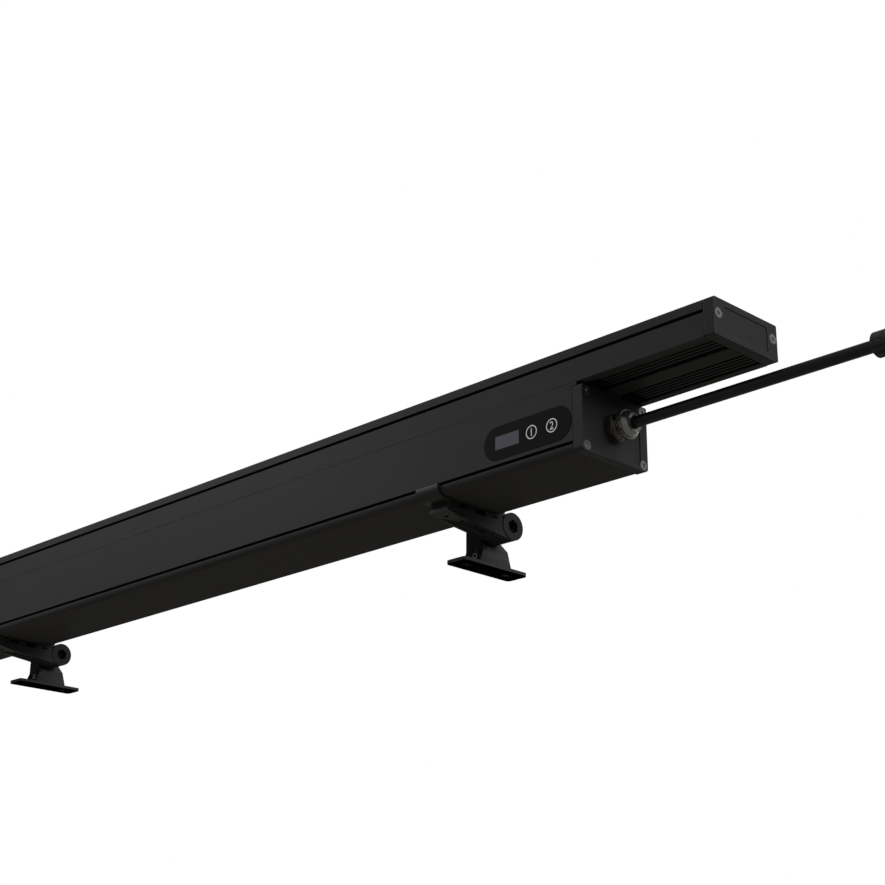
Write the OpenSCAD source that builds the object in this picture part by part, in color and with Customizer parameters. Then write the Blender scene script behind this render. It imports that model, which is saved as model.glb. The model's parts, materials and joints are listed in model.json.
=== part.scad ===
// Outdoor wall washer light: a long slim light head over a driver box, on two clamp brackets with swivel feet.
// Millimetres, +X along the lamp, +Y from its front to its back, +Z up.
// The origin is on the ground, in the middle of the lamp's own box, below the two feet.

/* [Lamp] */
// Length of the light head over its end caps
lamp_l = 1200; // [1000:1:1500]
// Depth of the head and of the driver box, from front to back
body_d = 73; // [70:0.5:90]
// Height of the light head
head_h = 28; // [26:0.5:36]
// Height of the driver box
box_h = 50.5; // [46:0.5:70]
// Gap between the box and the head, filled by the spacer rail
spacer_h = 2.5; // [1.5:0.1:6]
// How far the head reaches past each end of the driver box
head_overhang = 119; // [60:1:200]
// Thickness of every end cap
cap_t = 9; // [8:0.1:12]
// Thickness of the gasket behind each end cap
cap_gasket_t = 0.5; // [0.3:0.1:1.5]
// Fillet on the upper long edges of the head, and on the edges of the end caps
edge_r = 1.2; // [0.5:0.1:1.4]
// Fillet on the two lower edges of the head extrusion
seam_r = 0.4; // [0.2:0.1:0.8]
// Fillet on the two lower edges of the box extrusion
box_edge_r = 5.5; // [4:0.1:7]
// Fillet on the two lower corners of the box end caps
box_cap_r = 3; // [2:0.1:4]

/* [Light head] */
// Thickness of the head's base, fins included
base_t = 12; // [11:0.1:14]
// Wall beside the cover glass
glass_wall = 3.5; // [2.8:0.1:5]
// Thickness of the cover glass
glass_t = 4; // [3:0.1:5]
// Thickness of the gasket under the glass
glass_gasket_t = 1; // [0.5:0.1:1.5]
// Depth of the glass below the head's rim
glass_recess = 0.5; // [0.2:0.1:1]
// Depth of each cooling groove under the head
fin_groove_h = 6.5; // [3:0.1:7]
// Width of each cooling groove
fin_groove_w = 2.2; // [1.2:0.1:2.4]
// Distance from one cooling groove to the next
fin_pitch = 4.4; // [4:0.1:4.6]
// Cooling grooves on each side of the middle rib
fin_count = 5; // [3:1:5]
// Distance from the middle of the head to its first groove
fin_start = 10.9; // [9:0.1:11]
// How far the fins stand back from the middle rib
fin_recess = 1; // [0.5:0.1:2]
// Height of the long accessory groove on the head's front and back
head_slot_h = 2.6; // [1.5:0.1:3]
// Depth of every accessory groove
slot_depth = 2.2; // [1.5:0.1:2.5]
// Middle of the head's accessory groove below its top
head_slot_drop = 8.5; // [8.2:0.1:9]
// Circuit boards in the head
board_count = 3; // [3:1:3]
// Distance from one diode to the next
led_pitch = 24; // [22:0.5:24]
// Gap between each circuit board and the wall beside it
board_gap = 5; // [3:0.1:6]
// Distance of a board's screws from its long edges
board_screw_inset = 6.6; // [5.5:0.1:7]
// Thickness of every circuit board
board_t = 1.6; // [1:0.1:2]
// Side of a diode
led_w = 3.5; // [2:0.1:4]
// Height of a diode
led_h = 1.2; // [0.6:0.1:1.5]
// Radius of a lens at its wide upper end
lens_r = 8.5; // [7:0.1:9.5]
// How far a lens strip stands back from the long edges of its board
strip_inset = 3; // [2:0.1:4]
// Thickness of a lens strip's upper plate
strip_t = 1.5; // [1:0.1:2]
// Height of a lens strip over its circuit board
strip_h = 8; // [7:0.1:8.5]

/* [Driver box] */
// Wall of the box at its sides and bottom
box_wall = 2.5; // [2:0.1:3.5]
// Wall of the box at its top
box_top_t = 3.5; // [3:0.1:5]
// Height of the clamp groove on the front and back of the box
box_slot_h = 2.6; // [1.8:0.1:3]
// Middle of the clamp groove above the bottom of the box
box_slot_up = 7.5; // [7.2:0.1:8]
// How far the spacer rail stops before each end of the box
rail_setback = 5.2; // [3:0.1:8]
// Width of the tongue on top of each box end cap
tongue_w = 13; // [10:0.5:15]
// Thickness of the driver tray
tray_t = 1.5; // [1:0.1:1.6]
// Length of the power supply
supply_l = 300; // [150:1:340]
// Gap between the power supply and the screw bosses beside it
supply_gap = 2.3; // [1.8:0.1:8]
// Height of the power supply
supply_h = 32; // [20:0.5:34]
// Middle of the power supply along the lamp
supply_x = -60; // [-150:1:80]
// Screws that join the box to the head
joining_count = 6; // [4:1:8]

/* [Controls] */
// Length of the control panel
panel_l = 87; // [80:0.5:100]
// Height of the control panel
panel_h = 26.6; // [24:0.1:30]
// Thickness of the control panel
panel_t = 0.8; // [0.6:0.1:1]
// How far the panel stands proud of the box
panel_proud = 0.3; // [0.1:0.1:0.4]
// Middle of the panel before the end of the box
panel_inset = 54; // [53:0.5:120]
// Width of the display window
window_w = 24; // [18:0.5:28]
// Height of the display window
window_h = 10.5; // [8:0.1:14]
// Middle of the window from the middle of the panel
window_offset = -19.8; // [-22:0.1:-18]
// Radius of each button
button_r = 5.8; // [4.5:0.1:6]
// Distance from one button to the next
button_pitch = 20; // [16:0.5:21]
// Middle of the first button from the middle of the panel
button_offset = 4.9; // [3:0.1:5]
// Travel of each button
button_travel = 0.4; // [0.2:0.1:0.5]

/* [Cable] */
// Diameter of the supply cable
cable_d = 8.6; // [7:0.1:9.4]
// Width over the flats of the cable gland
gland_af = 20; // [19:0.5:22]
// Height of the gland's middle above the bottom of the box
gland_up = 25; // [23:0.1:27]
// Thread diameter of the cable gland
gland_thread_d = 16; // [14:0.5:17]

/* [Brackets] */
// Middle of each bracket before the end of the box
bracket_inset = 157; // [110:1:280]
// Width of the bracket's arm
arm_w = 20; // [18:0.5:24]
// Width of the front claw
claw_w = 24; // [20:0.5:28]
// Thickness of the claws
claw_t = 2.4; // [1.8:0.1:3]
// Gap between the clamp and the box
slide_gap = 0.2; // [0.1:0.05:0.3]
// Height of the pivot above the ground
pivot_h = 30.1; // [29:0.1:40]
// Depth of the pivot below the bottom of the box
pivot_drop = 7.4; // [7:0.1:8.4]
// Distance of the pivot behind the back of the box
pivot_back = 10.5; // [9.8:0.1:12]
// Radius of the pivot's barrel, knuckle and bolt head
barrel_r = 11.4; // [10.6:0.1:11.6]
// Diameter of the pivot bolt
pivot_d = 8; // [6:0.1:9]
// Width of the foot, which stands beside the arm
foot_w = 20; // [19:0.5:24]
// Width of the foot's neck and knuckle
neck_w = 13.4; // [12:0.1:15]
// Thickness of the pivot bolt's head
bolt_head_t = 7.5; // [7:0.1:9]
// Width over the flats of the socket in the pivot bolt
bolt_socket_af = 10; // [8:0.5:12]
// Length of the foot's base plate
foot_l = 72.5; // [66:0.5:90]
// Width of the foot's base plate
foot_plate_w = 22; // [20:0.5:24]
// Thickness of the foot's base plate
foot_t = 3; // [2.5:0.1:5]
// Reach of the base plate behind the pivot
foot_back = 38.1; // [33:0.1:44]
// Distance between the two slots of the foot
foot_slot_pitch = 46; // [45:0.5:50]
// Width of each slot of the foot
foot_slot_w = 5.5; // [4:0.1:6.5]
// Length of each slot of the foot
foot_slot_l = 9; // [7:0.1:10]

/* [Hidden] */

// What cuts reach past a face
overrun = 1;
// Radial clearance of a screw or pin in its hole
pin_gap = 0.05;
// Clearance between pieces that lie in or beside each other
fit_gap = 0.2;
// Share of a width over flats that is the radius over corners
hex_share = 1 / sqrt(3);
// Shares of a screw's head, of a set screw and of a post that the socket or bore in it takes
head_socket_share = 0.9;
set_socket_share = 0.6;
post_bore_share = 0.8;

// Levels and places
box_bottom_z = pivot_h + pivot_drop;
box_top_z = box_bottom_z + box_h;
head_bottom_z = box_top_z + spacer_h;
head_top_z = head_bottom_z + head_h;
front_y = (claw_t + slide_gap - body_d - pivot_back - foot_back) / 2;
mid_y = front_y + body_d / 2;
back_y = front_y + body_d;
pivot_y = back_y + pivot_back;
box_l = lamp_l - 2 * head_overhang;
box_tube_l = box_l - 2 * (cap_t + cap_gasket_t);
head_tube_l = lamp_l - 2 * (cap_t + cap_gasket_t);
gland_z = box_bottom_z + gland_up;

// Inside of the head
seat_z = head_top_z - glass_recess - glass_t - glass_gasket_t;
floor_z = head_bottom_z + base_t;
cavity_wall = 8.5;
cavity_w = body_d - 2 * cavity_wall;
glass_seat_w = body_d - 2 * glass_wall;
fin_zone = fin_start + (fin_count - 1) * fin_pitch + fin_groove_w / 2;
rib_w = 2 * (fin_start - fin_pitch / 2) - fin_groove_w;
rib_groove_w = fin_start + fin_groove_w / 2 - rib_w / 2;
board_l = (head_tube_l - 2 * fit_gap) / board_count - fit_gap;
board_w = cavity_w - 2 * board_gap;
strip_w = board_w - 2 * strip_inset;
board_top_z = floor_z + board_t;

// End cap screws: countersunk, metric 4
cap_screw_d = 4;
cap_screw_head_d = 7.5;
cap_screw_socket = 2.5;
cap_screw_l = 20;
cap_screw_inset = 5;
head_screw_drop = 11.5;
box_screw_top = 4.2;
box_screw_bottom = 4.4;
port_wall = 2.2;
cap_recess = 1;
recess_r = 1.5;
head_recess_side = 10.9;
head_recess_top = 4.5;
head_recess_bottom = 3.6;
box_recess_side = 8;
box_recess_top = 5.9;
box_recess_bottom = 2.9;
cap_plug_t = 2;
gasket_inset = 0.15;

// Small screws inside
small_screw_d = 3;
small_head_d = 5.5;
small_head_h = 1.8;
small_screw_l = 6;
board_screw_y = board_w / 2 - board_screw_inset;
led_count = floor(board_l / led_pitch);
strip_leg_r = 1.5;
strip_leg_inset = 7;
strip_leg_y = strip_w / 2 - strip_leg_inset;
lens_foot_r = 4.2;
lens_lift = 0.6;
lens_well_r = 2.9;
lens_well_h = 1.9;
joining_d = 5;
joining_head_d = 9.5;
joining_head_h = 2.7;
joining_bite = 8;

// Inside of the box
boss_w = cap_screw_inset + cap_screw_d / 2 + port_wall;
tray_bite = 2;
tray_w = body_d - 2 * (boss_w - tray_bite + fit_gap);
tray_margin = 30;
supply_w = body_d - 2 * (boss_w + supply_gap);
supply_foot_l = 10;
supply_foot_t = 2;

// Controls, measured inwards from the front of the box
button_t = 1.3;
button_out = 0.4;
button_well = button_t - button_out + button_travel + fit_gap;
stem_r = 2;
stem_flange_r = 3.2;
stem_flange_t = 0.8;
switch_w = 6;
switch_t = 1.8;
control_board_y = 8.3;
stem_l = control_board_y - switch_t - button_t + button_out - button_travel - pin_gap;
control_board_l = 84;
control_board_margin = 1.05;
control_board_h = box_h - 2 * (boss_w + control_board_margin);
control_post_r = 2.5;
control_post_inset = 3.5;
display_glass_w = 27;
display_glass_h = 17;
display_frame = 1.5;

// Cable gland, measured outwards from the floor of the end cap's recess
gland_hex_t = 5.5;
gland_ring_count = 3;
gland_ring_t = 0.8;
gland_ring_gap = 0.5;
gland_neck_r = 7.8;
gland_nut_start = 9.9;
gland_nut_t = 3.6;
gland_corner_share = 0.56;
gland_l = 19;
gland_mouth_r = 6;
gland_wall_t = 3.2;
gland_pocket_r = 13.5;
locknut_t = 4;
gland_thread_l = gland_wall_t + locknut_t + overrun;

// Route of the supply cable, straight out of the gland
cable_route = [[499, -23, 62.5], [519, -23, 62.5], [539, -23, 62.5], [559, -23, 62.5], [579, -23, 62.5],
    [599, -23, 62.5], [619, -23, 62.5], [639, -23, 62.5], [659, -23, 62.5], [679, -23, 62.5], [699, -23, 62.5]];
cable_sides = 12;

// Connector on the cable's far end
back_nut_l = 12.5;
back_nut_r = 8.7;
back_nut_edge = 0.8;
nut_groove_count = 12;
nut_groove_r = 0.7;
nut_groove_l = 9.5;
ridge_count = 18;
ridge_r = 0.7;
ring_l = 17;
ring_r = 10.6;
ring_wall = 2;
ring_lip = 2;
connector_l = 21;
connector_core_r = 7.2;
connector_flange_r = 8.3;
connector_flange_t = 2.5;
pin_r = 0.9;
pin_l = 8;
pin_out = 5;
pin_circle_r = 3.8;
pin_count = 4;

// Bracket
bracket_pitch = box_l - 2 * bracket_inset;
hook_depth = slot_depth - fit_gap;
hook_t = box_slot_h / 2;
hook_low = box_slot_up - box_slot_h / 2 + fit_gap;
leg_t = 7.9;
seam_gap = 0.3;
seam_drop = slide_gap + leg_t + seam_gap;
web_t = 3;
arm_wall = 2.8;
channel_back = 7;
channel_end = body_d - channel_back;
claw_leg_start = 12.5;
claw_leg_back = 14;
claw_leg_end = body_d - claw_leg_back;
claw_leg_l = claw_leg_end - claw_leg_start;
lip_y = 10.4;
lip_drop = 9.3;
lip_up = 1.6;
lip_t = 1.6;
wedge_y = 22.5;
wedge_drop = 12;
claw_pocket_shares = [[0.226, 0.194, 0.506], [0.613, 0.237, 0.633]];
block_slot_start = 1;
block_slot_l = 6;
block_slot_h = 1.5;
block_slot_drop = 4;
swing_gap = 0.4;
clamp_screw_d = 4;
clamp_screw_sink = 0.8;
clamp_screw_shares = [0.15, 0.51, 0.862];
clamp_screw_bite = 5;
clamp_screw_socket = 2;
bolt_gap = 0.1;
bolt_sink = 6.7;
bolt_socket_t = 6.2;
bolt_eye_d = 2.2;
nut_af = 13;
nut_t = 6;

// Foot, measured from the pivot
foot_gap = 0.7;
foot_x = -(arm_w + foot_w) / 2 - foot_gap;
neck_side = neck_w - foot_w / 2;
foot_corner_r = 3.5;
foot_shift = (foot_plate_w - foot_w) / 3;
foot_low = foot_t - pivot_h;
ledge_drop = 13.9;
shoulder_drop = 5;
block_back = 20.2;
block_corner_r = 4;
back_turn = atan2(foot_low, block_back) + acos(barrel_r / norm([block_back, foot_low]));
gusset_w = 2.3;
gusset_l = 4.5;
gusset_h = 11;
foot_slot_middle = foot_back - foot_l / 2;
foot_screw_d = 5;
foot_screw_l = 8;
foot_screw_z = 9.7;
foot_screw_out = 0.3;
foot_screw_socket = 2.5;

$fn = 48;

// Extrudes an outline drawn in Y and Z along X, centred
module along_x(l) {
    rotate([90, 0, 90]) linear_extrude(height = l, center = true) children();
}

// Rectangle from a lower left corner, with one radius for the two upper and one for the two lower corners
module round_outline(w, h, r_top, r_low) {
    translate([0, r_low]) square([w, h - r_low - r_top]);
    translate([r_low, 0]) square([w - 2 * r_low, h / 2]);
    translate([r_top, h / 2]) square([w - 2 * r_top, h / 2]);
    for (x = [r_low, w - r_low]) translate([x, r_low]) circle(r = r_low);
    if (r_top > 0) for (x = [r_top, w - r_top]) translate([x, h - r_top]) circle(r = r_top);
}

// Stadium centred on the origin
module stadium(l, h) {
    square([l - h, h], center = true);
    for (x = [-1, 1]) translate([x * (l - h) / 2, 0]) circle(d = h);
}

// Hexagonal prism along +Z over its flats
module hexagon(af, h) {
    cylinder(r = af * hex_share, h = h, $fn = 6);
}

// Turns a piece made along +Z so that it points along +X or -X
module point_x(side) {
    rotate([0, side * 90, 0]) children();
}

// Turns a piece made along +Z so that it points along -Y, towards the front
module point_front() {
    rotate([90, 0, 0]) children();
}

// Countersunk screw with a hexagonal socket, its head's face at zero and its tip down
module countersunk_screw(d, head_d, l, socket) {
    head_h = (head_d - d) / 2;
    difference() {
        union() {
            translate([0, 0, -head_h]) cylinder(d1 = d, d2 = head_d, h = head_h);
            translate([0, 0, -l]) cylinder(d = d, h = l - head_h / 2);
        }
        translate([0, 0, -head_h * head_socket_share]) hexagon(socket, head_h + overrun);
    }
}

// Hole for a countersunk screw, open past its face
module countersunk_hole(d, head_d, l) {
    head_h = (head_d - d) / 2;
    translate([0, 0, -head_h]) cylinder(d1 = d + 2 * pin_gap, d2 = head_d + 2 * pin_gap, h = head_h);
    cylinder(d = head_d + 2 * pin_gap, h = overrun);
    translate([0, 0, -l]) cylinder(d = d + 2 * pin_gap, h = l);
}

// Pan head screw, the underside of its head at zero and its tip down
module pan_screw(d, head_d, head_h, l) {
    translate([0, 0, -l]) cylinder(d = d, h = l + head_h / 2);
    cylinder(d = head_d, h = head_h);
}

// Set screw along +Z from its tip, with a socket in its outer end
module set_screw(d, l, socket) {
    difference() {
        cylinder(d = d, h = l);
        translate([0, 0, l * set_socket_share]) hexagon(socket, l);
    }
}

// Places of the head's end cap screws, seen along X: [y, z]
function head_screw_places() = [for (y = [front_y + cap_screw_inset, back_y - cap_screw_inset])
    [y, head_top_z - head_screw_drop]];

// Places of the box's end cap screws, seen along X: [y, z]
function box_screw_places() = [for (y = [front_y + cap_screw_inset, back_y - cap_screw_inset])
    for (z = [box_bottom_z + box_screw_bottom, box_top_z - box_screw_top]) [y, z]];

// Screw ports in the ends of an extrusion
module screw_ports(places, l) {
    port_l = cap_screw_l - cap_t + overrun;
    for (p = places) for (side = [-1, 1])
        translate([side * (l / 2 - port_l), p[0], p[1]]) point_x(side)
            cylinder(d = cap_screw_d + 2 * pin_gap, h = port_l + overrun);
}

// Light head

module head_outline() {
    difference() {
        translate([front_y, head_bottom_z]) round_outline(body_d, head_h, edge_r, seam_r);
        translate([mid_y - cavity_w / 2, floor_z]) square([cavity_w, head_h]);
        translate([mid_y - glass_seat_w / 2, seat_z]) square([glass_seat_w, head_h]);
        for (side = [-1, 1]) {
            translate([mid_y + side * body_d / 2, head_top_z - head_slot_drop])
                square([2 * slot_depth, head_slot_h], center = true);
            for (i = [0 : fin_count - 1])
                translate([mid_y + side * (fin_start + i * fin_pitch) - fin_groove_w / 2, head_bottom_z - overrun])
                    square([fin_groove_w, fin_groove_h + overrun]);
            translate([mid_y + side * (rib_w / 2 + fin_zone) / 2, head_bottom_z])
                square([fin_zone - rib_w / 2, 2 * fin_recess], center = true);
            translate([mid_y + side * (rib_w + rib_groove_w) / 2 - rib_groove_w / 2, head_bottom_z - overrun])
                square([rib_groove_w, fin_groove_h + overrun]);
        }
    }
}

module head_housing() {
    color("#2b2b2d") difference() {
        along_x(head_tube_l) head_outline();
        screw_ports(head_screw_places(), head_tube_l);
        joining_places() translate([0, 0, head_bottom_z - overrun])
            cylinder(d = joining_d + 2 * pin_gap, h = joining_bite + 2 * overrun);
        board_screw_places() translate([0, 0, floor_z - small_screw_l + board_t])
            cylinder(d = small_screw_d + 2 * pin_gap, h = small_screw_l);
    }
}

module head_end_cap(side) {
    face_x = side * lamp_l / 2;
    recess_w = body_d - 2 * head_recess_side;
    recess_h = head_h - head_recess_top - head_recess_bottom;
    color("#2a2a2c") difference() {
        union() {
            translate([face_x - side * cap_t / 2, 0, 0]) along_x(cap_t)
                translate([front_y, head_bottom_z]) round_outline(body_d, head_h, edge_r, edge_r);
            translate([face_x - side * (cap_t + cap_plug_t / 2), 0, 0]) along_x(cap_plug_t)
                translate([mid_y - cavity_w / 2 + fit_gap, board_top_z + fit_gap + small_head_h])
                    square([cavity_w - 2 * fit_gap, seat_z - board_top_z - small_head_h - 2 * fit_gap]);
        }
        translate([face_x, 0, 0]) along_x(2 * cap_recess)
            translate([front_y + head_recess_side, head_bottom_z + head_recess_bottom])
                round_outline(recess_w, recess_h, recess_r, recess_r);
        for (p = head_screw_places()) translate([face_x, p[0], p[1]]) point_x(side)
            countersunk_hole(cap_screw_d, cap_screw_head_d, cap_t + overrun);
    }
}

module head_end_cap_right() { head_end_cap(1); }
module head_end_cap_left() { head_end_cap(-1); }

module head_cap_gaskets() {
    color("#141414") for (side = [-1, 1]) difference() {
        translate([side * (lamp_l / 2 - cap_t - cap_gasket_t / 2), 0, 0]) along_x(cap_gasket_t) difference() {
            translate([front_y + gasket_inset, head_bottom_z + gasket_inset])
                round_outline(body_d - 2 * gasket_inset, head_h - 2 * gasket_inset, edge_r, edge_r);
            translate([mid_y - cavity_w / 2, floor_z + fit_gap]) square([cavity_w, seat_z - floor_z - fit_gap]);
        }
        screw_clearance(head_screw_places());
    }
}

// Clear holes along X for the cap screws through a gasket
module screw_clearance(places) {
    for (p = places) translate([0, p[0], p[1]])
        rotate([0, 90, 0]) cylinder(d = cap_screw_d + 2 * fit_gap, h = lamp_l + overrun, center = true);
}

module head_cap_screws() {
    color("#8f9194") for (side = [-1, 1]) for (p = head_screw_places())
        translate([side * lamp_l / 2, p[0], p[1]]) point_x(side)
            countersunk_screw(cap_screw_d, cap_screw_head_d, cap_screw_l, cap_screw_socket);
}

module glass_cover() {
    color("#c9d6d8") translate([0, 0, head_top_z - glass_recess - glass_t]) linear_extrude(height = glass_t)
        translate([0, mid_y]) square([head_tube_l - 2 * fit_gap, glass_seat_w - 2 * fit_gap], center = true);
}

module glass_gasket() {
    color("#161616") translate([0, 0, seat_z]) linear_extrude(height = glass_gasket_t) translate([0, mid_y])
        difference() {
            square([head_tube_l - 2 * fit_gap, glass_seat_w - 2 * fit_gap], center = true);
            square([head_tube_l - 2 * cavity_wall + 2 * glass_wall, cavity_w], center = true);
        }
}

// Middle of a board along the lamp, counted from 0
function board_x(i) = (i - (board_count - 1) / 2) * (board_l + fit_gap);

// Place of a diode along its board, counted from 0
function led_x(i) = (i - (led_count - 1) / 2) * led_pitch;

// Screws of one board: near its ends and in its middle, between the lenses
function board_screw_x() = [for (i = [-1, 0, 1]) i * (led_x(led_count - 1) - led_pitch / 2)];

module board_screw_places() {
    for (i = [0 : board_count - 1]) one_board_screws(i) children();
}

module one_board_screws(i) {
    for (x = board_screw_x()) for (side = [-1, 1])
        translate([board_x(i) + x, mid_y + side * board_screw_y, 0]) children();
}

module led_board(i) {
    color("#e9ebe6") difference() {
        translate([board_x(i), mid_y, floor_z + board_t / 2]) cube([board_l, board_w, board_t], center = true);
        one_board_screws(i) translate([0, 0, floor_z - overrun])
            cylinder(d = small_screw_d + 2 * fit_gap, h = board_t + 2 * overrun);
    }
}

module led_board_1() { led_board(0); }
module led_board_2() { led_board(1); }
module led_board_3() { led_board(2); }

module led_chips() {
    color("#f2d25a") for (i = [0 : board_count - 1]) for (k = [0 : led_count - 1])
        translate([board_x(i) + led_x(k), mid_y, board_top_z + led_h / 2])
            cube([led_w, led_w, led_h], center = true);
}

// One lens: a cone with a well for its diode
module lens() {
    cone_h = strip_h - lens_lift - strip_t;
    difference() {
        translate([0, 0, lens_lift]) cylinder(r1 = lens_foot_r, r2 = lens_r, h = cone_h + strip_t / 2);
        translate([0, 0, -overrun]) cylinder(r = lens_well_r, h = lens_well_h + overrun);
    }
}

module lens_strip(i) {
    legs = [-led_x(led_count - 1), 0, led_x(led_count - 1)];
    color("#dfe7ea") translate([board_x(i), mid_y, board_top_z]) {
        translate([0, 0, strip_h - strip_t / 2])
            cube([led_pitch * led_count - fit_gap, strip_w, strip_t], center = true);
        for (k = [0 : led_count - 1]) translate([led_x(k), 0, 0]) lens();
        for (x = legs) for (side = [-1, 1]) translate([x + led_pitch / 4, side * strip_leg_y, 0])
            cylinder(r = strip_leg_r, h = strip_h - strip_t / 2);
    }
}

module lens_strip_1() { lens_strip(0); }
module lens_strip_2() { lens_strip(1); }
module lens_strip_3() { lens_strip(2); }

module board_screws() {
    color("#b9bcc0") board_screw_places() translate([0, 0, board_top_z])
        pan_screw(small_screw_d, small_head_d, small_head_h, small_screw_l);
}

// Joint of head and box

module joining_places() {
    step = box_tube_l / joining_count;
    for (i = [0 : joining_count - 1])
        translate([(i - (joining_count - 1) / 2) * step, mid_y, 0]) children();
}

module spacer_rail() {
    color("#262628") difference() {
        translate([0, mid_y, box_top_z + spacer_h / 2])
            cube([box_l - 2 * rail_setback, body_d, spacer_h], center = true);
        for (side = [-1, 1]) translate([side * box_l / 2, mid_y, box_top_z + spacer_h / 2])
            cube([2 * cap_t, tongue_w + 2 * fit_gap, spacer_h + 2 * overrun], center = true);
        joining_places() translate([0, 0, box_top_z - overrun])
            cylinder(d = joining_d + 2 * fit_gap, h = spacer_h + 2 * overrun);
    }
}

module joining_screws() {
    color("#9a9da0") joining_places() translate([0, 0, box_top_z - box_top_t]) mirror([0, 0, 1])
        pan_screw(joining_d, joining_head_d, joining_head_h, box_top_t + spacer_h + joining_bite);
}

// Driver box

module box_outline() {
    difference() {
        translate([front_y, box_bottom_z]) round_outline(body_d, box_h, 0, box_edge_r);
        difference() {
            translate([front_y + box_wall, box_bottom_z + box_wall])
                square([body_d - 2 * box_wall, box_h - box_wall - box_top_t]);
            for (y = [front_y, back_y - boss_w]) {
                translate([y, box_bottom_z]) square([boss_w, boss_w]);
                translate([y, box_top_z - boss_w]) square([boss_w, boss_w]);
            }
        }
        translate([mid_y - tray_w / 2 - fit_gap, box_bottom_z + box_wall])
            square([tray_w + 2 * fit_gap, tray_t + fit_gap]);
        for (y = [front_y, back_y]) translate([y, box_bottom_z + box_slot_up])
            square([2 * slot_depth, box_slot_h], center = true);
    }
}

module driver_housing() {
    color("#29292b") difference() {
        along_x(box_tube_l) box_outline();
        screw_ports(box_screw_places(), box_tube_l);
        joining_places() translate([0, 0, box_top_z - box_top_t - overrun])
            cylinder(d = joining_d + 2 * fit_gap, h = box_top_t + 2 * overrun);
        panel_place() {
            translate([0, 0, panel_proud - panel_t]) linear_extrude(height = panel_t + overrun)
                stadium(panel_l + 2 * fit_gap, panel_h + 2 * fit_gap);
            translate([window_offset, 0, -box_wall - overrun]) linear_extrude(height = box_wall + 2 * overrun)
                square([window_w, window_h], center = true);
            button_places() {
                translate([0, 0, -button_well]) cylinder(r = button_r + fit_gap, h = button_well + overrun);
                translate([0, 0, -box_wall - overrun]) cylinder(r = stem_r + pin_gap, h = box_wall + 2 * overrun);
            }
        }
    }
}

module box_end_cap(side) {
    face_x = side * box_l / 2;
    recess_w = body_d - 2 * box_recess_side;
    recess_h = box_h - box_recess_top - box_recess_bottom;
    plug_w = body_d - 2 * (boss_w + fit_gap);
    plug_h = box_h - box_wall - box_top_t - tray_t - 3 * fit_gap;
    color("#2a2a2c") difference() {
        union() {
            translate([face_x - side * cap_t / 2, 0, 0]) along_x(cap_t)
                translate([front_y, box_bottom_z]) round_outline(body_d, box_h, edge_r, box_cap_r);
            translate([face_x - side * cap_t / 2, 0, 0]) along_x(cap_t)
                translate([mid_y - tongue_w / 2, box_top_z - overrun])
                    square([tongue_w, spacer_h + overrun - fit_gap]);
            translate([face_x - side * (cap_t + cap_plug_t / 2), 0, 0]) along_x(cap_plug_t) difference() {
                translate([mid_y - plug_w / 2, box_bottom_z + box_wall + tray_t + 2 * fit_gap])
                    square([plug_w, plug_h]);
                translate([mid_y - plug_w / 2 + box_wall, box_bottom_z + 2 * box_wall + tray_t + 2 * fit_gap])
                    square([plug_w - 2 * box_wall, plug_h - 2 * box_wall]);
            }
        }
        translate([face_x, 0, 0]) along_x(2 * cap_recess)
            translate([front_y + box_recess_side, box_bottom_z + box_recess_bottom])
                round_outline(recess_w, recess_h, recess_r, recess_r);
        for (p = box_screw_places()) translate([face_x, p[0], p[1]]) point_x(side)
            countersunk_hole(cap_screw_d, cap_screw_head_d, cap_t + overrun);
        gland_place(side) {
            translate([0, 0, -cap_t - cap_plug_t]) cylinder(r = gland_thread_d / 2 + pin_gap, h = 2 * cap_t);
            translate([0, 0, -cap_t - cap_plug_t])
                cylinder(r = gland_pocket_r, h = cap_t + cap_plug_t - gland_wall_t);
        }
    }
}

module box_end_cap_right() { box_end_cap(1); }
module box_end_cap_left() { box_end_cap(-1); }

module box_cap_gaskets() {
    color("#141414") for (side = [-1, 1]) difference() {
        translate([side * (box_l / 2 - cap_t - cap_gasket_t / 2), 0, 0]) along_x(cap_gasket_t) difference() {
            translate([front_y + gasket_inset, box_bottom_z + gasket_inset])
                round_outline(body_d - 2 * gasket_inset, box_h - 2 * gasket_inset, edge_r, box_edge_r);
            translate([mid_y - body_d / 2 + boss_w, box_bottom_z + box_wall + fit_gap])
                square([body_d - 2 * boss_w, box_h - box_wall - box_top_t - fit_gap]);
        }
        screw_clearance(box_screw_places());
    }
}

module box_cap_screws() {
    color("#8f9194") for (side = [-1, 1]) for (p = box_screw_places())
        translate([side * box_l / 2, p[0], p[1]]) point_x(side)
            countersunk_screw(cap_screw_d, cap_screw_head_d, cap_screw_l, cap_screw_socket);
}

module driver_tray() {
    color("#a9acad") difference() {
        translate([supply_x, mid_y, box_bottom_z + box_wall + tray_t / 2])
            cube([supply_l + 2 * tray_margin, tray_w, tray_t], center = true);
        supply_screw_places() translate([0, 0, box_bottom_z + box_wall - overrun])
            cylinder(d = small_screw_d + 2 * pin_gap, h = tray_t + 2 * overrun);
    }
}

module supply_screw_places() {
    for (x = [-1, 1]) for (y = [-1, 1])
        translate([supply_x + x * (supply_l / 2 + supply_foot_l / 2), mid_y + y * supply_w / 4, 0]) children();
}

module power_supply() {
    supply_z = box_bottom_z + box_wall + tray_t;
    color("#b4b6b8") difference() {
        union() {
            translate([supply_x, mid_y, supply_z + supply_h / 2])
                cube([supply_l, supply_w, supply_h], center = true);
            translate([supply_x, mid_y, supply_z + supply_foot_t / 2])
                cube([supply_l + 2 * supply_foot_l, supply_w, supply_foot_t], center = true);
        }
        supply_screw_places() translate([0, 0, supply_z - overrun])
            cylinder(d = small_screw_d + 2 * fit_gap, h = supply_foot_t + 2 * overrun);
    }
}

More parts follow.
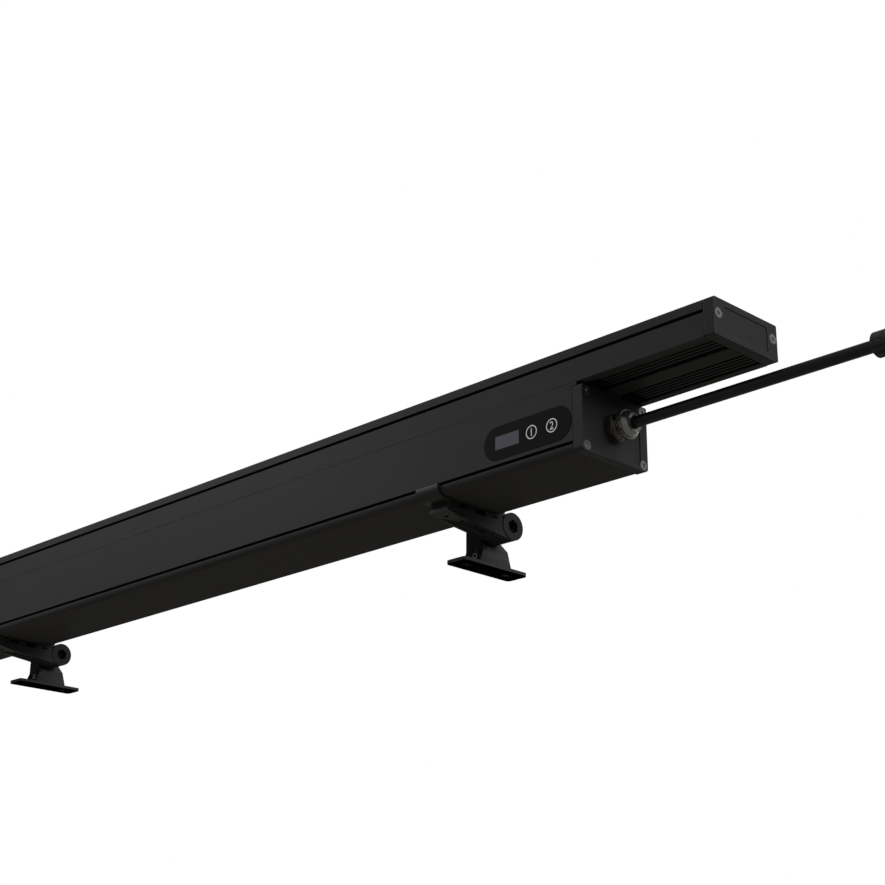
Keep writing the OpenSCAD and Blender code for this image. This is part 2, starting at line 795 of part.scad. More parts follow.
module power_supply_screws() {
    supply_z = box_bottom_z + box_wall + tray_t;
    color("#c2c4c6") supply_screw_places() translate([0, 0, supply_z + supply_foot_t])
        pan_screw(small_screw_d, small_head_d, small_head_h, supply_foot_t + tray_t);
}

// Controls

// Middle of the control panel, with +Z pointing out of the front of the box
module panel_place() {
    translate([box_l / 2 - panel_inset, front_y, box_bottom_z + box_h / 2]) point_front() children();
}

module button_places() {
    for (i = [0, 1]) translate([button_offset + i * button_pitch, 0, 0]) children();
}

module control_panel() {
    color("#19191b") panel_place() translate([0, 0, panel_proud - panel_t]) difference() {
        linear_extrude(height = panel_t) stadium(panel_l, panel_h);
        translate([window_offset, 0, -overrun]) linear_extrude(height = panel_t + 2 * overrun)
            square([window_w, window_h], center = true);
        button_places() translate([0, 0, -overrun]) cylinder(r = button_r + fit_gap, h = panel_t + 2 * overrun);
    }
}

module display_window() {
    color("#474a52") panel_place() translate([window_offset, 0, panel_proud - panel_t])
        linear_extrude(height = panel_t)
            square([window_w - 2 * pin_gap, window_h - 2 * pin_gap], center = true);
}

module display_module() {
    depth = control_board_y - box_wall;
    color("#101418") panel_place() difference() {
        translate([window_offset, 0, -box_wall - depth / 2])
            cube([display_glass_w, display_glass_h, depth], center = true);
        translate([window_offset, 0, -control_board_y])
            cube([display_glass_w - 2 * display_frame, display_glass_h - 2 * display_frame,
                2 * (depth - display_frame)], center = true);
    }
}

module button(i) {
    color("#1c1c1e") panel_place() translate([button_offset + i * button_pitch, 0, 0]) {
        translate([0, 0, button_out - button_t]) cylinder(r = button_r, h = button_t);
        translate([0, 0, button_out - button_t - stem_l]) cylinder(r = stem_r, h = stem_l + button_t / 2);
        translate([0, 0, -box_wall - fit_gap - stem_flange_t]) cylinder(r = stem_flange_r, h = stem_flange_t);
    }
}

module button_1() { button(0); }
module button_2() { button(1); }

module control_post_places() {
    for (x = [-1, 1]) for (z = [-1, 1])
        translate([x * (control_board_l / 2 - control_post_inset), z * (control_board_h / 2 - control_post_inset), 0])
            children();
}

module control_board() {
    color("#1d5a35") panel_place() difference() {
        union() {
            translate([0, 0, -control_board_y - board_t / 2])
                cube([control_board_l, control_board_h, board_t], center = true);
            button_places() translate([0, 0, -control_board_y + switch_t / 2])
                cube([switch_w, switch_w, switch_t], center = true);
        }
        control_post_places() translate([0, 0, -control_board_y - board_t - overrun])
            cylinder(d = small_screw_d + 2 * fit_gap, h = board_t + 2 * overrun);
    }
}

module control_board_posts() {
    post_l = control_board_y - box_wall;
    color("#c7b26a") panel_place() control_post_places() translate([0, 0, -control_board_y]) difference() {
        cylinder(r = control_post_r, h = post_l);
        translate([0, 0, -overrun]) cylinder(d = small_screw_d + 2 * pin_gap, h = post_l * post_bore_share);
    }
}

module control_board_screws() {
    color("#c2c4c6") panel_place() control_post_places() translate([0, 0, -control_board_y - board_t])
        mirror([0, 0, 1]) pan_screw(small_screw_d, small_head_d, small_head_h, 2 * board_t);
}

// Cable glands

// Middle of a gland on the floor of an end cap's recess, with +Z pointing out of the cap
module gland_place(side) {
    translate([side * (box_l / 2 - cap_recess), mid_y, gland_z]) point_x(side) children();
}

module gland_body(side) {
    bore_r = cable_d / 2 + fit_gap;
    color("#8b8175") gland_place(side) difference() {
        union() {
            hexagon(gland_af, gland_hex_t);
            cylinder(r = gland_neck_r, h = gland_nut_start + gland_nut_t / 2);
            for (i = [1 : gland_ring_count])
                translate([0, 0, gland_hex_t + i * (gland_ring_t + gland_ring_gap) - gland_ring_t])
                    cylinder(r = gland_af / 2, h = gland_ring_t);
            translate([0, 0, -gland_thread_l]) cylinder(d = gland_thread_d, h = gland_thread_l + overrun);
        }
        translate([0, 0, -gland_thread_l - overrun])
            cylinder(r = bore_r, h = gland_thread_l + gland_l);
    }
}

// Outline of the gland's nut, turned about the gland's middle
module gland_dome_outline() {
    dome_r = gland_af / 2;
    dome_h = gland_l - gland_nut_start - gland_nut_t;
    square([dome_r, gland_nut_t]);
    intersection() {
        translate([0, gland_nut_t]) square([dome_r, dome_h]);
        union() {
            translate([dome_r - dome_h, gland_nut_t]) circle(r = dome_h);
            translate([0, gland_nut_t]) square([gland_mouth_r, dome_h]);
        }
    }
}

module gland_nut(side) {
    seal_r = cable_d / 2 + 2 * fit_gap;
    color("#8b8175") gland_place(side) translate([0, 0, gland_nut_start]) difference() {
        union() {
            intersection() {
                hexagon(gland_af, gland_l);
                cylinder(r = gland_af * gland_corner_share, h = gland_nut_t);
            }
            rotate_extrude() intersection() {
                gland_dome_outline();
                square([gland_af / 2, gland_l - gland_nut_start]);
            }
        }
        translate([0, 0, -overrun]) cylinder(r = gland_neck_r + pin_gap, h = gland_nut_t / 2 + overrun + fit_gap);
        translate([0, 0, -overrun]) cylinder(r = seal_r, h = gland_l);
    }
}

module gland_seal(side, filled) {
    seal_r = cable_d / 2 + fit_gap;
    start = gland_nut_start + gland_nut_t / 2 + fit_gap;
    gland_place(side) difference() {
        translate([0, 0, start]) cylinder(r = seal_r, h = gland_l - start);
        if (!filled) translate([0, 0, start - overrun])
            cylinder(r = cable_d / 4, h = gland_l - start - gland_ring_t + overrun);
    }
}

module gland_body_right() { gland_body(1); }
module gland_nut_right() { gland_nut(1); }
module gland_seal_right() { color("#1a1a1a") gland_seal(1, false); }
module gland_body_left() { gland_body(-1); }
module gland_nut_left() { gland_nut(-1); }
module gland_plug_left() { color("#1a1a1a") gland_seal(-1, true); }

module gland_locknuts() {
    color("#8b8175") for (side = [-1, 1]) gland_place(side) difference() {
        translate([0, 0, -gland_wall_t - locknut_t]) hexagon(gland_af, locknut_t);
        translate([0, 0, -gland_wall_t - locknut_t - overrun])
            cylinder(r = gland_thread_d / 2 + pin_gap, h = locknut_t + 2 * overrun);
    }
}

// Supply cable and its connector

function ring_points(centre) = [for (k = [0 : cable_sides - 1])
    centre + cable_d / 2 * [0, cos(360 * k / cable_sides), sin(360 * k / cable_sides)]];

module supply_cable() {
    rings = len(cable_route);
    points = [for (c = cable_route) each ring_points(c)];
    sides = [for (i = [0 : rings - 2]) for (k = [0 : cable_sides - 1])
        let (a = i * cable_sides + k, b = i * cable_sides + (k + 1) % cable_sides)
            each [[a, a + cable_sides, b], [b, a + cable_sides, b + cable_sides]]];
    start = [for (k = [0 : cable_sides - 1]) k];
    end = [for (k = [cable_sides - 1 : -1 : 0]) (rings - 1) * cable_sides + k];
    color("#161617") polyhedron(points = points, faces = concat([start], sides, [end]));
}

// Start of the connector, with +Z along the cable
module connector_place() {
    translate(cable_route[len(cable_route) - 1]) point_x(1) children();
}

// Row of small ridges around a nut
module ridges(r, start, l) {
    for (k = [0 : ridge_count - 1]) rotate([0, 0, 360 * k / ridge_count])
        translate([r, 0, start]) cylinder(r = ridge_r, h = l);
}

module connector_back_nut() {
    color("#1b1b1c") connector_place() difference() {
        union() {
            cylinder(r1 = back_nut_r - back_nut_edge, r2 = back_nut_r, h = back_nut_edge);
            translate([0, 0, back_nut_edge]) cylinder(r = back_nut_r, h = back_nut_l - back_nut_edge);
        }
        for (k = [0 : nut_groove_count - 1]) rotate([0, 0, 360 * k / nut_groove_count])
            translate([back_nut_r, 0, -overrun]) cylinder(r = nut_groove_r, h = nut_groove_l + overrun);
    }
}

module connector_body() {
    color("#202021") connector_place() difference() {
        union() {
            translate([0, 0, back_nut_l]) cylinder(r = connector_core_r, h = connector_l);
            translate([0, 0, back_nut_l + fit_gap + ring_lip + fit_gap])
                cylinder(r = connector_flange_r, h = connector_flange_t);
        }
        pin_places() translate([0, 0, back_nut_l + connector_l - pin_l])
            cylinder(r = pin_r + pin_gap, h = pin_l + overrun);
    }
}

module pin_places() {
    for (k = [0 : pin_count - 1]) rotate([0, 0, 45 + 360 * k / pin_count])
        translate([pin_circle_r, 0, 0]) children();
}

module connector_ring() {
    start = back_nut_l + fit_gap;
    color("#1b1b1c") connector_place() difference() {
        union() {
            translate([0, 0, start]) cylinder(r = ring_r, h = ring_l);
            ridges(ring_r, start + ridge_r, ring_l - 2 * ridge_r);
        }
        translate([0, 0, start - overrun]) cylinder(r = connector_core_r + pin_gap, h = ring_l);
        translate([0, 0, start + ring_lip]) cylinder(r = ring_r - ring_wall, h = ring_l);
    }
}

module connector_pins() {
    color("#c8a04a") connector_place() pin_places()
        translate([0, 0, back_nut_l + connector_l - pin_l]) cylinder(r = pin_r, h = pin_l + pin_out - pin_r);
}

// Brackets

// Claw that hugs a lower corner of the box, drawn in Y and Z from the front of the box and from its bottom
module claw_outline(reach) {
    difference() {
        union() {
            translate([box_edge_r, box_edge_r]) circle(r = box_edge_r + slide_gap + claw_t);
            translate([-slide_gap - claw_t, box_edge_r])
                square([slide_gap + claw_t + box_edge_r, hook_low + hook_t - box_edge_r]);
            translate([box_edge_r, -slide_gap - claw_t]) square([reach - box_edge_r, claw_t + slide_gap]);
        }
        translate([box_edge_r, box_edge_r]) circle(r = box_edge_r + slide_gap);
        translate([-slide_gap, box_edge_r]) square([2 * box_edge_r + slide_gap, box_h]);
        translate([box_edge_r, -slide_gap]) square([reach + box_edge_r, box_h]);
        translate([box_edge_r, box_edge_r]) square([2 * box_edge_r, box_h]);
        translate([-box_edge_r - claw_t, hook_low + hook_t]) square([4 * box_edge_r, box_h]);
    }
    translate([-slide_gap - claw_t / 2, hook_low])
        square([hook_depth + slide_gap + claw_t / 2, hook_t]);
}

// Bracket frame: X from the bracket's middle, Y from the front of the box, Z from the bottom of the box
module bracket_place(side) {
    translate([side * bracket_pitch / 2, front_y, box_bottom_z]) children();
}

// Distances of the clamp screws from the front of the box
function clamp_screw_places() = [for (share = clamp_screw_shares) claw_leg_start + share * claw_leg_l];

module front_claw(side) {
    color("#272729") bracket_place(side) {
        along_x(claw_w) claw_outline(claw_leg_start);
        difference() {
            along_x(arm_w) {
                claw_outline(claw_leg_start + claw_t);
                translate([claw_leg_start, -slide_gap - leg_t]) square([claw_leg_end - claw_leg_start, leg_t]);
            }
            for (p = claw_pocket_shares)
                translate([arm_w / 2, claw_leg_start + (p[0] + p[1] / 2) * claw_leg_l, -slide_gap - p[2] / 2 * leg_t])
                    cube([arm_w / 2, p[1] * claw_leg_l, p[2] * leg_t + 2 * slide_gap], center = true);
            for (y = clamp_screw_places()) translate([0, y, -slide_gap - leg_t - overrun])
                cylinder(d = clamp_screw_d + 2 * pin_gap, h = clamp_screw_bite + fit_gap + overrun);
        }
    }
}

// Side of the arm: a wedge from its front lip to the barrel, drawn in Y and Z
module arm_outline() {
    arm_pivot_y = body_d + pivot_back;
    polygon([[lip_y, -seam_drop], [lip_y, -lip_drop], [wedge_y, -wedge_drop],
        [arm_pivot_y, -pivot_drop - barrel_r], [arm_pivot_y, -seam_drop]]);
    translate([lip_y, -seam_drop - claw_t / 4]) square([lip_t, lip_up + claw_t / 4]);
    translate([claw_leg_end + fit_gap, -seam_drop - claw_t])
        square([body_d - box_edge_r - claw_leg_end, leg_t + seam_gap + claw_t]);
    translate([claw_leg_end + fit_gap, -seam_drop - claw_t])
        square([arm_pivot_y - barrel_r / 2 - claw_leg_end, leg_t + seam_gap]);
}

module clamp_arm(side) {
    arm_pivot_y = body_d + pivot_back;
    barrel_start = foot_x + neck_side + swing_gap;
    barrel_end = arm_w / 2 - bolt_sink - bolt_gap;
    cut_low = -4 * barrel_r;
    color("#262628") bracket_place(side) difference() {
        union() {
            along_x(arm_w) arm_outline();
            along_x(arm_w) translate([body_d, 0]) mirror([1, 0]) claw_outline(2 * box_edge_r);
            translate([barrel_start, arm_pivot_y, -pivot_drop]) rotate([0, 90, 0])
                cylinder(r = barrel_r, h = barrel_end - barrel_start);
        }
        // Room for the bolt, its head sunk into the arm's right side
        translate([barrel_start - overrun, arm_pivot_y, -pivot_drop]) rotate([0, 90, 0])
            cylinder(d = pivot_d + 2 * pin_gap, h = 2 * arm_w);
        translate([barrel_end, arm_pivot_y, -pivot_drop]) rotate([0, 90, 0])
            cylinder(r = barrel_r + fit_gap, h = arm_w);
        // Channel along the underside, between the arm's two walls
        translate([arm_wall - arm_w / 2, lip_y, cut_low])
            cube([arm_w - 2 * arm_wall, channel_end - lip_y, -cut_low - seam_drop - web_t]);
        for (y = clamp_screw_places()) translate([0, y, -seam_drop - web_t - overrun])
            cylinder(d = clamp_screw_d + 2 * pin_gap, h = web_t + 2 * overrun);
        translate([arm_w / 2, claw_leg_end + fit_gap + block_slot_start + block_slot_l / 2, -block_slot_drop])
            cube([arm_w / 2, block_slot_l, block_slot_h], center = true);
    }
}

module clamp_screws(side) {
    top = slide_gap + leg_t - clamp_screw_bite;
    low = seam_drop + web_t - clamp_screw_sink;
    color("#3a3a3c") bracket_place(side) for (y = clamp_screw_places())
        translate([0, y, -top]) mirror([0, 0, 1]) set_screw(clamp_screw_d, low - top, clamp_screw_socket);
}

// Pivot frame: X from the bracket's middle, Y and Z from the pivot
module pivot_place(side) {
    translate([side * bracket_pitch / 2, pivot_y, pivot_h]) children();
}

module pivot_bolt(side) {
    head_x = arm_w / 2 - bolt_sink;
    tip_x = foot_x - foot_w / 2 + nut_t / 2;
    color("#343436") pivot_place(side) difference() {
        union() {
            translate([head_x, 0, 0]) rotate([0, 90, 0]) cylinder(r = barrel_r, h = bolt_head_t);
            translate([tip_x, 0, 0]) rotate([0, 90, 0]) cylinder(d = pivot_d, h = head_x - tip_x + overrun);
        }
        translate([head_x + bolt_head_t - bolt_socket_t, 0, 0]) rotate([0, 90, 0])
            hexagon(bolt_socket_af, bolt_socket_t + overrun);
        translate([head_x, 0, 0]) rotate([0, 90, 0]) cylinder(d = bolt_eye_d, h = bolt_head_t + overrun);
    }
}

module pivot_nut(side) {
    color("#8f9194") pivot_place(side) translate([foot_x - foot_w / 2, 0, 0]) rotate([0, 90, 0]) difference() {
        hexagon(nut_af, nut_t);
        translate([0, 0, -overrun]) cylinder(d = pivot_d + 2 * pin_gap, h = nut_t + 2 * overrun);
    }
}

// Side of the foot, drawn in Y and Z from the pivot: knuckle, upright front and leaning back
module foot_outline() {
    circle(r = barrel_r);
    polygon([[-barrel_r, foot_low - foot_t / 2], [-barrel_r, 0], [0, 0],
        [barrel_r * cos(back_turn), barrel_r * sin(back_turn)],
        [block_back, foot_low], [block_back, foot_low - foot_t / 2]]);
}

// Foot frame: X from the foot's middle, Y and Z from the pivot
module foot_place(side) {
    pivot_place(side) translate([foot_x, 0, 0]) children();
}

module foot(side) {
    color("#262628") foot_place(side) difference() {
        union() {
            // Base plate with round corners
            translate([foot_shift, foot_slot_middle, -pivot_h]) linear_extrude(height = foot_t) {
                square([foot_plate_w - 2 * foot_corner_r, foot_l], center = true);
                square([foot_plate_w, foot_l - 2 * foot_corner_r], center = true);
                for (x = [-1, 1]) for (y = [-1, 1])
                    translate([x * (foot_plate_w / 2 - foot_corner_r), y * (foot_l / 2 - foot_corner_r)])
                        circle(r = foot_corner_r);
            }
            // Neck and knuckle
            translate([(neck_w - foot_w) / 2, 0, 0]) along_x(neck_w) foot_outline();
            // Block, with a ledge and a shoulder beside the neck and one round upright edge
            intersection() {
                along_x(foot_w) foot_outline();
                rotate([90, 0, 0]) linear_extrude(height = 4 * barrel_r, center = true)
                    polygon([[-foot_w / 2, -pivot_h], [foot_w / 2, -pivot_h], [foot_w / 2, -ledge_drop],
                        [neck_side, -shoulder_drop], [-foot_w / 2, -shoulder_drop]]);
                translate([0, 0, -pivot_h]) linear_extrude(height = pivot_h) {
                    translate([-foot_w / 2, -barrel_r]) square([foot_w - block_corner_r, 4 * barrel_r]);
                    translate([-foot_w / 2, block_corner_r - barrel_r]) square([foot_w, 4 * barrel_r]);
                    translate([foot_w / 2 - block_corner_r, block_corner_r - barrel_r]) circle(r = block_corner_r);
                }
            }
            for (x = [-1, 1]) translate([x * (foot_w / 2 - gusset_w / 2), 0, 0]) along_x(gusset_w)
                polygon([[block_corner_r - barrel_r, foot_low - foot_t / 2],
                    [-barrel_r - gusset_l, foot_low - foot_t / 2], [-barrel_r - gusset_l, foot_low],
                    [-barrel_r, foot_low + gusset_h], [block_corner_r - barrel_r, foot_low + gusset_h]]);
        }
        // Room for the arm's barrel
        translate([neck_side, 0, 0]) rotate([0, 90, 0]) cylinder(r = barrel_r + swing_gap, h = foot_w);
        rotate([0, 90, 0]) cylinder(d = pivot_d + 2 * pin_gap, h = 2 * foot_w, center = true);
        translate([-foot_w / 2 - overrun, 0, 0]) rotate([0, 90, 0])
            hexagon(nut_af + 2 * fit_gap, nut_t + overrun);
        for (y = [-1, 1]) translate([foot_shift, foot_slot_middle + y * foot_slot_pitch / 2, -pivot_h - overrun])
            linear_extrude(height = foot_t + 2 * overrun) rotate([0, 0, 90]) stadium(foot_slot_l, foot_slot_w);
        translate([0, -barrel_r - overrun, foot_screw_z - pivot_h]) rotate([-90, 0, 0])
            cylinder(d = foot_screw_d + 2 * pin_gap, h = foot_screw_l + overrun);
    }
}

module foot_screw(side) {
    color("#a7aaad") foot_place(side)
        translate([0, -barrel_r + foot_screw_l - foot_screw_out, foot_screw_z - pivot_h])
            rotate([90, 0, 0]) set_screw(foot_screw_d, foot_screw_l, foot_screw_socket);
}

module clamp_arm_right() { clamp_arm(1); }
module front_claw_right() { front_claw(1); }
module clamp_screws_right() { clamp_screws(1); }
module pivot_bolt_right() { pivot_bolt(1); }
module pivot_nut_right() { pivot_nut(1); }
module foot_right() { foot(1); }
module foot_screw_right() { foot_screw(1); }
module clamp_arm_left() { clamp_arm(-1); }
module front_claw_left() { front_claw(-1); }
module clamp_screws_left() { clamp_screws(-1); }
module pivot_bolt_left() { pivot_bolt(-1); }
module pivot_nut_left() { pivot_nut(-1); }
module foot_left() { foot(-1); }
module foot_screw_left() { foot_screw(-1); }

head_housing();
head_end_cap_right();
head_end_cap_left();
head_cap_gaskets();
head_cap_screws();
glass_cover();
glass_gasket();
led_board_1();
led_board_2();
led_board_3();
led_chips();
lens_strip_1();
lens_strip_2();
lens_strip_3();
board_screws();
spacer_rail();
joining_screws();
driver_housing();
box_end_cap_right();
box_end_cap_left();
box_cap_gaskets();
box_cap_screws();
control_panel();
display_window();
display_module();
button_1();
button_2();
control_board();
control_board_posts();
control_board_screws();
driver_tray();
power_supply();
power_supply_screws();
gland_body_right();
gland_nut_right();
gland_seal_right();
gland_body_left();
gland_nut_left();
gland_plug_left();
gland_locknuts();
supply_cable();
connector_back_nut();
connector_body();
connector_ring();
connector_pins();
clamp_arm_right();
front_claw_right();
clamp_screws_right();
pivot_bolt_right();
pivot_nut_right();
foot_right();
foot_screw_right();
clamp_arm_left();
front_claw_left();
clamp_screws_left();
pivot_bolt_left();
pivot_nut_left();
foot_left();
foot_screw_left();
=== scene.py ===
# Outdoor wall washer light: finishes, cable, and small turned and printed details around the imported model.
# Metres, +X along the lamp, +Y from its front to its back, +Z up.
import json
from math import cos, radians, sin

import bmesh
import bpy
from mathutils import Matrix, Vector


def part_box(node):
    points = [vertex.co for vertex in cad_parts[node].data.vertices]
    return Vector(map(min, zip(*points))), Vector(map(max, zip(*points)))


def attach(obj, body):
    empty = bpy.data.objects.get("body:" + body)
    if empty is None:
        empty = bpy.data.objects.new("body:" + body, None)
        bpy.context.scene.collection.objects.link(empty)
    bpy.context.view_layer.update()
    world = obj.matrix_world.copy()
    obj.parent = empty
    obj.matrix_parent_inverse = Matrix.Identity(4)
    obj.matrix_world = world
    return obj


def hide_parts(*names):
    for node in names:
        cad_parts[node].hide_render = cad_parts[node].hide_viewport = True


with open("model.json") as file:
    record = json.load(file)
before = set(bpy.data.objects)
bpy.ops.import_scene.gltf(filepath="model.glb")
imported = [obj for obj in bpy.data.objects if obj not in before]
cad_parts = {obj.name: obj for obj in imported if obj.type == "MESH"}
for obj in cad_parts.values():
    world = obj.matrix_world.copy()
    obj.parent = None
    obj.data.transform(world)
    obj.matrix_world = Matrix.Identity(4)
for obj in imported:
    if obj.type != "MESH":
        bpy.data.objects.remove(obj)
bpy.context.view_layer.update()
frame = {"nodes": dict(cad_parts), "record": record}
mm = 0.001

# Camera, below the lamp and to the right of it
camera = {
    "azimuth": 45.5027,  # degrees, 0 looks along +Y
    "elevation": -20.0743,  # degrees, below the horizon
    "roll": 0.4179,  # degrees
    "eye": (1.2318, -0.9371, -0.3791),  # metres
    "lens": 70.182,  # millimetres
    "sensor": 36.0,  # millimetres
    "reach": 50.0,  # metres, past which the camera sees nothing but the world
}


def makeCamera():
    turn, rise, roll = (radians(camera[key]) for key in ("azimuth", "elevation", "roll"))
    back = Vector((sin(turn) * cos(rise), -cos(turn) * cos(rise), sin(rise)))
    side = back.cross(Vector((0, 0, -1))).normalized()
    above = side.cross(-back)
    right = cos(roll) * side + sin(roll) * above
    up = cos(roll) * above - sin(roll) * side
    lens = bpy.data.cameras.new("photoCamera")
    lens.lens = camera["lens"]
    lens.sensor_width = camera["sensor"]
    lens.clip_end = camera["reach"]
    holder = bpy.data.objects.new("photoCamera", lens)
    bpy.context.scene.collection.objects.link(holder)
    turned = Matrix((right, up, back)).transposed().to_4x4()
    holder.matrix_world = Matrix.Translation(camera["eye"]) @ turned
    bpy.context.scene.camera = holder


makeCamera()
print("camera made")


# Materials

def linear(hexColour):
    # An sRGB hex colour as linear light, with full opacity
    channels = [int(hexColour[i:i + 2], 16) / 255 for i in (1, 3, 5)]
    return [c / 12.92 if c <= 0.04045 else ((c + 0.055) / 1.055) ** 2.4 for c in channels] + [1.0]


def addNode(tree, kind, settings=None, **sockets):
    # Adds one node. A socket is named, or numbered as i0, i1 and so on where several share a name, and it
    # gets a value, a hex colour or another node's output.
    node = tree.nodes.new(kind)
    for name, value in (settings or {}).items():
        setattr(node, name, value)
    for name, value in sockets.items():
        key = int(name[1:]) if name[0] == "i" and name[1:].isdigit() else name.replace("_", " ")
        if isinstance(value, bpy.types.NodeSocket):
            tree.links.new(value, node.inputs[key])
        elif isinstance(value, str) and value.startswith("#"):
            node.inputs[key].default_value = linear(value)
        else:
            node.inputs[key].default_value = value
    return node


def newMaterial(name):
    material = bpy.data.materials.new(name)
    material.use_nodes = True
    tree = material.node_tree
    tree.nodes.clear()
    shader = addNode(tree, "ShaderNodeBsdfPrincipled")
    addNode(tree, "ShaderNodeOutputMaterial", Surface=shader.outputs["BSDF"])
    place = addNode(tree, "ShaderNodeTexCoord").outputs["Object"]
    return material, tree, shader, place


def insideZones(tree, place, zones):
    # One inside any of the boxes and nothing outside them
    inside = 0.0
    for middle, half in zones:
        local = addNode(tree, "ShaderNodeMapping", {"vector_type": "TEXTURE"}, Vector=place,
                        Location=[x * mm for x in middle], Scale=[x * mm for x in half]).outputs["Vector"]
        away = addNode(tree, "ShaderNodeVectorMath", {"operation": "ABSOLUTE"}, i0=local).outputs["Vector"]
        axes = addNode(tree, "ShaderNodeSeparateXYZ", Vector=away).outputs
        furthest = axes["X"]
        for axis in ("Y", "Z"):
            furthest = addNode(tree, "ShaderNodeMath", {"operation": "MAXIMUM"}, i0=furthest,
                               i1=axes[axis]).outputs[0]
        within = addNode(tree, "ShaderNodeMath", {"operation": "LESS_THAN"}, i0=furthest, i1=1.0).outputs[0]
        inside = addNode(tree, "ShaderNodeMath", {"operation": "MAXIMUM"}, i0=inside, i1=within).outputs[0]
    return inside


def paintZones(tree, shader, place, look, colour):
    # Gives the zones their own colour, painted shade or a painted highlight in most of them, and takes the
    # coat off them
    inside = insideZones(tree, place, look["zones"])
    coat = addNode(tree, "ShaderNodeMix", {"data_type": "FLOAT"}, Factor=inside, i2=look["coat"], i3=0.0)
    tree.links.new(coat.outputs[0], shader.inputs["Coat Weight"])
    return addNode(tree, "ShaderNodeMix", {"data_type": "RGBA"}, Factor=inside, i6=colour,
                   i7=look["zoneColour"]).outputs[2]


def grainedMaterial(name, look):
    # A surface with a fine grain and wide clouds in its colour and gloss, and the grain in its height too.
    # Millimetres: "grain" along X, Y and Z, "cloud", "depth", and each zone's middle and half size. Many
    # real grains are too fine to show, and are drawn as coarse as they need to be.
    material, tree, shader, place = newMaterial(name)
    scale = [1 / (size * mm) for size in look["grain"]]
    stretched = addNode(tree, "ShaderNodeMapping", Vector=place, Scale=scale).outputs["Vector"]
    fine = addNode(tree, "ShaderNodeTexNoise", Vector=stretched, Scale=1.0, Detail=3.0,
                   Roughness=0.6).outputs["Fac"]
    cloud = addNode(tree, "ShaderNodeTexNoise", Vector=place, Scale=1 / (look["cloud"] * mm), Detail=2.0,
                    Roughness=0.5).outputs["Fac"]
    faint = addNode(tree, "ShaderNodeMath", {"operation": "MULTIPLY_ADD"}, i0=cloud, i1=0.5,
                    i2=0.25).outputs[0]  # half as strong, about the same middle
    mixed = addNode(tree, "ShaderNodeMix", {"data_type": "FLOAT"}, Factor=look["fineShare"], i2=faint,
                    i3=fine).outputs[0]
    ramp = addNode(tree, "ShaderNodeValToRGB", Fac=mixed)
    ramp.color_ramp.elements[0].position = 0.3
    ramp.color_ramp.elements[0].color = linear(look["dark"])
    ramp.color_ramp.elements[1].position = 0.7
    ramp.color_ramp.elements[1].color = linear(look["light"])
    colour = ramp.outputs["Color"]
    if "coat" in look:
        shader.inputs["Coat Weight"].default_value = look["coat"]
        shader.inputs["Coat Roughness"].default_value = look["coatRoughness"]
    if "zones" in look:
        colour = paintZones(tree, shader, place, look, colour)
    tree.links.new(colour, shader.inputs["Base Color"])
    smooth, rough = look["roughness"]
    gloss = addNode(tree, "ShaderNodeMapRange", Value=mixed, From_Min=0.25, From_Max=0.75, To_Min=smooth,
                    To_Max=rough)
    tree.links.new(gloss.outputs[0], shader.inputs["Roughness"])
    bump = addNode(tree, "ShaderNodeBump", Height=fine, Strength=look["bump"], Distance=look["depth"] * mm)
    tree.links.new(bump.outputs["Normal"], shader.inputs["Normal"])
    shader.inputs["Metallic"].default_value = look.get("metallic", 0.0)
    shader.inputs["Specular IOR Level"].default_value = look.get("specular", 0.5)
    return material


# Black anodised aluminium extrusion: satin, with drawing lines along X that stop it looking like paint.
# Real lines are about 0.1 mm apart, too fine to show, so they are drawn 0.9 mm apart. The grooves, the
# gaps between the fins and the fins over the box's ends are painted near black: painted shade.
anodisedExtrusion = grainedMaterial("blackAnodisedExtrusion", {
    "dark": "#2c2c2d", "light": "#343435", "grain": (120, 0.9, 0.9), "cloud": 90, "fineShare": 0.5,
    "roughness": (0.5, 0.62), "bump": 0.1, "depth": 0.05,
    "specular": 0.0, "coat": 0.035, "coatRoughness": 0.38,
    # Zones painted in zoneColour, near black: painted shade in recesses and under the box's ends
    "zones": [
        ((0, -23, 110), (700, 36.2, 1.5)),  # the head's two side grooves
        ((0, -23, 45), (700, 36.2, 1.5)),  # the box's two side grooves
        ((0, -23, 97), (700, 35, 5.4)),  # the gaps between the fins
        ((-484.5, -41.6, 97), (5, 11.2, 6.8)),  # the fins beside the box's ends: painted shade, where the box blocks light from below
        ((-484.5, -4.4, 97), (5, 11.2, 6.8)),
        ((484.5, -41.6, 97), (5, 11.2, 6.8)),
        ((484.5, -4.4, 97), (5, 11.2, 6.8)),
    ],
    "zoneColour": "#171717",
})
# Powder coat on die cast end caps: a fine even grit, drawn coarser than it is, at 0.7 mm, that breaks up
# the highlights. The last millimetre before each end face is painted paler: a painted highlight on the
# recess walls there and in a band round each end.
powderCoat = grainedMaterial("blackPowderCoat", {
    "dark": "#202021", "light": "#2a2a2b", "grain": (0.7, 0.7, 0.7), "cloud": 25, "fineShare": 0.7,
    "roughness": (0.55, 0.7), "bump": 0.22, "depth": 0.08,
    "specular": 0.0, "coat": 0.08, "coatRoughness": 0.35,
    # Painted highlight: a paler zone at each end face of the caps
    "zones": [((end, -23, 78), (0.45, 60, 60)) for end in (-599.5, -480.5, 480.5, 599.5)],
    "zoneColour": "#363637",
})
# The same coat over the rounded edges of the caps, paler and smoother: a painted highlight that draws a
# light line
capEdgeHighlight = grainedMaterial("paintedCapEdgeHighlight", {
    "dark": "#323234", "light": "#454547", "grain": (1.2, 1.2, 1.2), "cloud": 10, "fineShare": 0.5,
    "roughness": (0.4, 0.5), "bump": 0.1, "depth": 0.04,
    "specular": 0.0, "coat": 0.25, "coatRoughness": 0.3,
})
